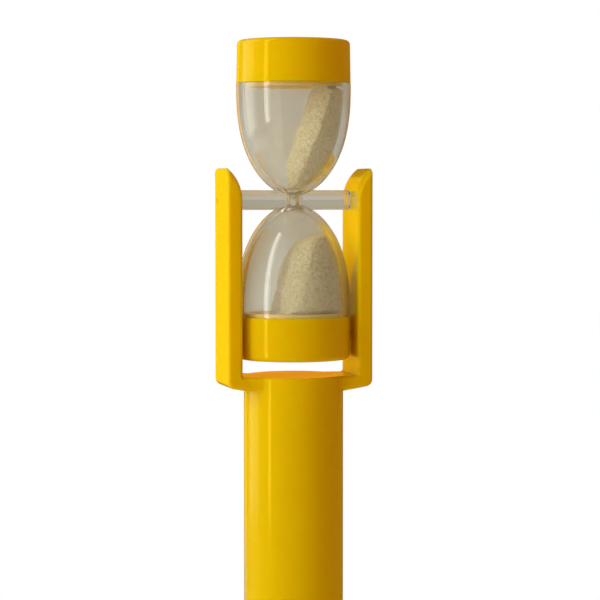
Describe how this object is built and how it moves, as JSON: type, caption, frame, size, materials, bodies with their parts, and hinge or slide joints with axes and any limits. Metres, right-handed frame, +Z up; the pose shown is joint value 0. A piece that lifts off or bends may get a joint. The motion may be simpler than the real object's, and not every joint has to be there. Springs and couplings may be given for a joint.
{
  "type": "sand timer pen",
  "caption": "Ballpoint pen with a fork on top of its round barrel, and in the fork a small clear sand timer that spins end over end on pivots at its neck.",
  "frame": {"origin": "on the barrel's axis, at the middle of the stretch that the fingers hold, 34 mm above the writing ball", "axes": "+Z up along the pen from the writing tip to the timer, +X towards the right arm of the fork, parallel to the timer's axle, +Y away from the viewer"},
  "size_m": [0.018, 0.014, 0.1566],
  "materials": {
    "yellow_plastic": "glossy moulded plastic, solid warm yellow",
    "clear_plastic": "clear moulded plastic, slightly smoky",
    "sand": "fine cream sand",
    "refill_plastic": "milky extruded tube",
    "brass": "turned, bright",
    "hard_metal": "ground and polished",
    "ink": "wet blue paste",
    "grease": "clear amber gel"
  },
  "bodies": {
    "pen": {"barrel_and_fork": "yellow_plastic", "nose_cone": "yellow_plastic", "refill_tube": "refill_plastic", "refill_tip": "brass", "writing_ball": "hard_metal", "ink_column": "ink", "grease_follower": "grease"},
    "timer": {"sand_vial": "clear_plastic", "upper_cap": "yellow_plastic", "lower_cap": "yellow_plastic", "upper_sand": "sand", "lower_sand": "sand"}
  },
  "joints": [
    {"name": "timer_spin", "type": "hinge", "parent": "pen", "child": "timer", "pos_m": [0, 0, 0.1033], "axis": [1, 0, 0], "continuous": true}
  ]
}
